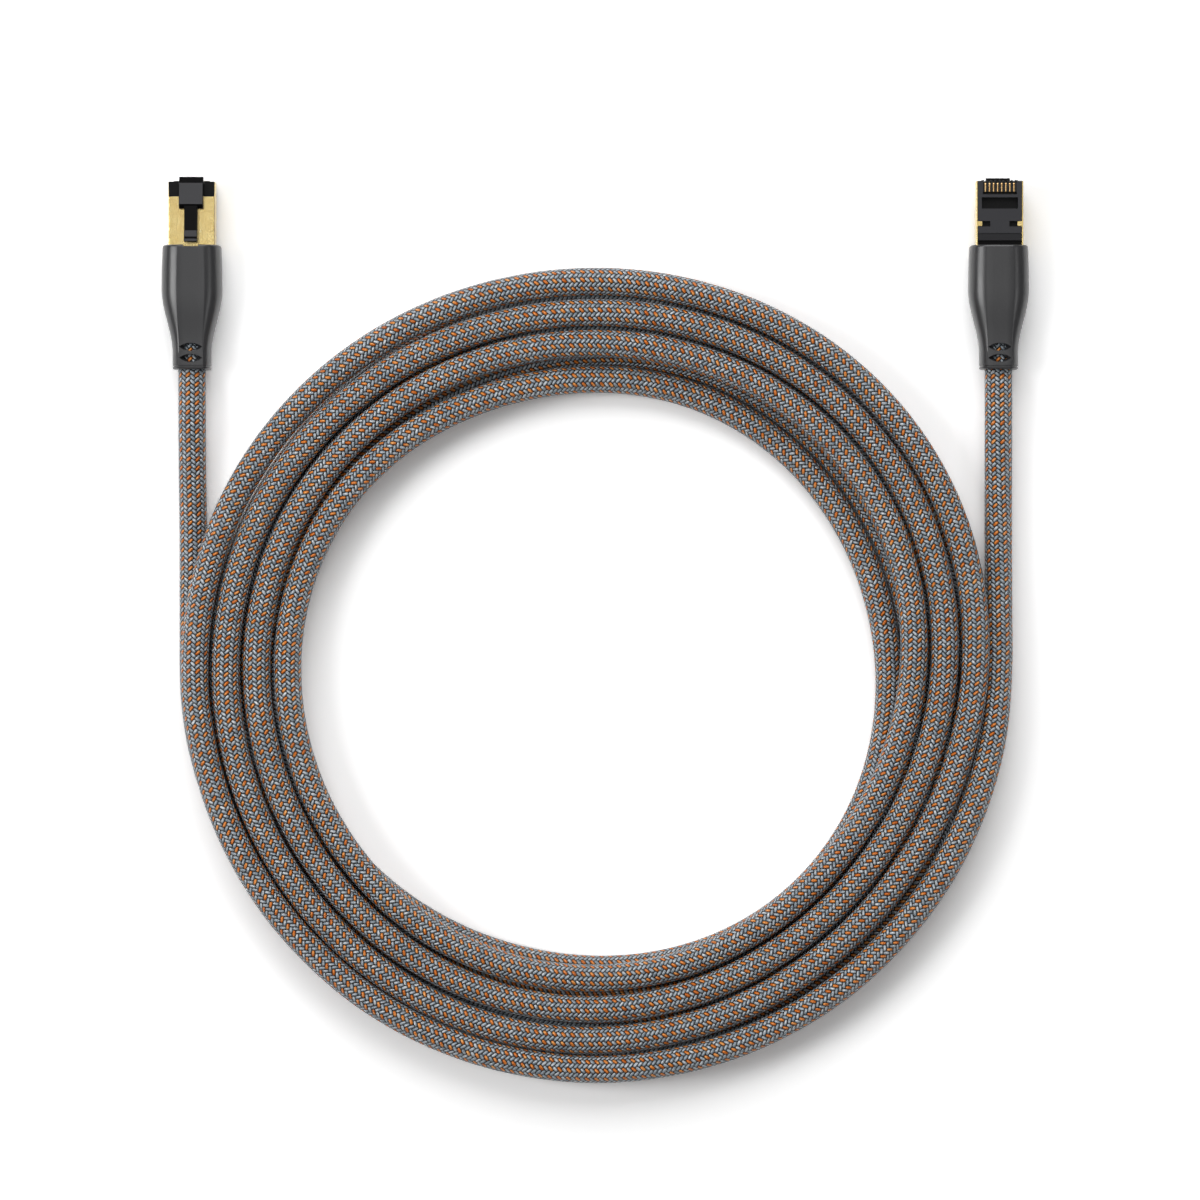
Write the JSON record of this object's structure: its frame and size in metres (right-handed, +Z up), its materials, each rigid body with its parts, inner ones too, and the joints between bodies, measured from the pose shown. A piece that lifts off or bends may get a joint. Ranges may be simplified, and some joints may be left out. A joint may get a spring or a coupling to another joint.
{
  "type": "ethernet patch cable",
  "caption": "Shielded network patch cable lying in a round coil, with a braided sleeve, moulded boots with strain-relief windows, and a latching modular plug on each end.",
  "frame": {"origin": "on the surface that the cable lies on, at the bottom centre of the box round the two plugs with their boots, midway between the plugs", "axes": "+X from plug a to plug b, +Y from the boots to the plugs' noses, +Z up from the surface"},
  "size_m": [0.2168, 0.2258, 0.0136],
  "materials": {
    "braided_sleeve": "woven herringbone sleeve in grey-blue and silver with orange tracers",
    "boot_rubber": "satin charcoal moulded elastomer",
    "housing_plastic": "black moulded plastic with a fine satin surface",
    "latch_plastic": "black-grey moulded plastic",
    "gold_shell": "satin gold plating on sheet metal",
    "gold_contact": "bright gold plating",
    "load_bar_plastic": "clear moulded plastic",
    "inner_mould_plastic": "natural moulded plastic",
    "cable_jacket": "extruded jacket",
    "shield_wire": "tinned copper wire braid",
    "pair_foil": "bright foil",
    "orange_wires": "orange insulation, one wire paler",
    "green_wires": "green insulation, one wire paler",
    "blue_wires": "blue insulation, one wire paler",
    "brown_wires": "brown insulation, one wire paler"
  },
  "bodies": {
    "root": {"lead_a": "braided_sleeve", "cable_coil": "braided_sleeve", "lead_b": "braided_sleeve", "housing_a": "housing_plastic", "shield_shell_a": "gold_shell", "load_bar_a": "load_bar_plastic", "inner_mould_a": "inner_mould_plastic", "boot_a": "boot_rubber", "sleeve_end_a": "braided_sleeve", "jacket_end_a": "cable_jacket", "folded_shield_a": "shield_wire", "pair_foils_a": "pair_foil", "orange_pair_a": "orange_wires", "green_pair_a": "green_wires", "blue_pair_a": "blue_wires", "brown_pair_a": "brown_wires", "contact_1_a": "gold_contact", "contact_2_a": "gold_contact", "contact_3_a": "gold_contact", "contact_4_a": "gold_contact", "contact_5_a": "gold_contact", "contact_6_a": "gold_contact", "contact_7_a": "gold_contact", "contact_8_a": "gold_contact", "housing_b": "housing_plastic", "shield_shell_b": "gold_shell", "load_bar_b": "load_bar_plastic", "inner_mould_b": "inner_mould_plastic", "boot_b": "boot_rubber", "sleeve_end_b": "braided_sleeve", "jacket_end_b": "cable_jacket", "folded_shield_b": "shield_wire", "pair_foils_b": "pair_foil", "orange_pair_b": "orange_wires", "green_pair_b": "green_wires", "blue_pair_b": "blue_wires", "brown_pair_b": "brown_wires", "contact_1_b": "gold_contact", "contact_2_b": "gold_contact", "contact_3_b": "gold_contact", "contact_4_b": "gold_contact", "contact_5_b": "gold_contact", "contact_6_b": "gold_contact", "contact_7_b": "gold_contact", "contact_8_b": "gold_contact"},
    "latch_a": {"latch_a": "latch_plastic"},
    "latch_b": {"latch_b": "latch_plastic"}
  },
  "joints": [
    {"name": "latch_a_press", "type": "hinge", "parent": "root", "child": "latch_a", "pos_m": [-0.1008, 0.02328, 0.0083], "axis": [1, 0, 0], "range_deg": [0, 8], "stiffness_Nm_per_rad": 0.02},
    {"name": "latch_b_press", "type": "hinge", "parent": "root", "child": "latch_b", "pos_m": [0.1008, 0.02328, 0.0037], "axis": [-1, 0, 0], "range_deg": [0, 8], "stiffness_Nm_per_rad": 0.02}
  ]
}
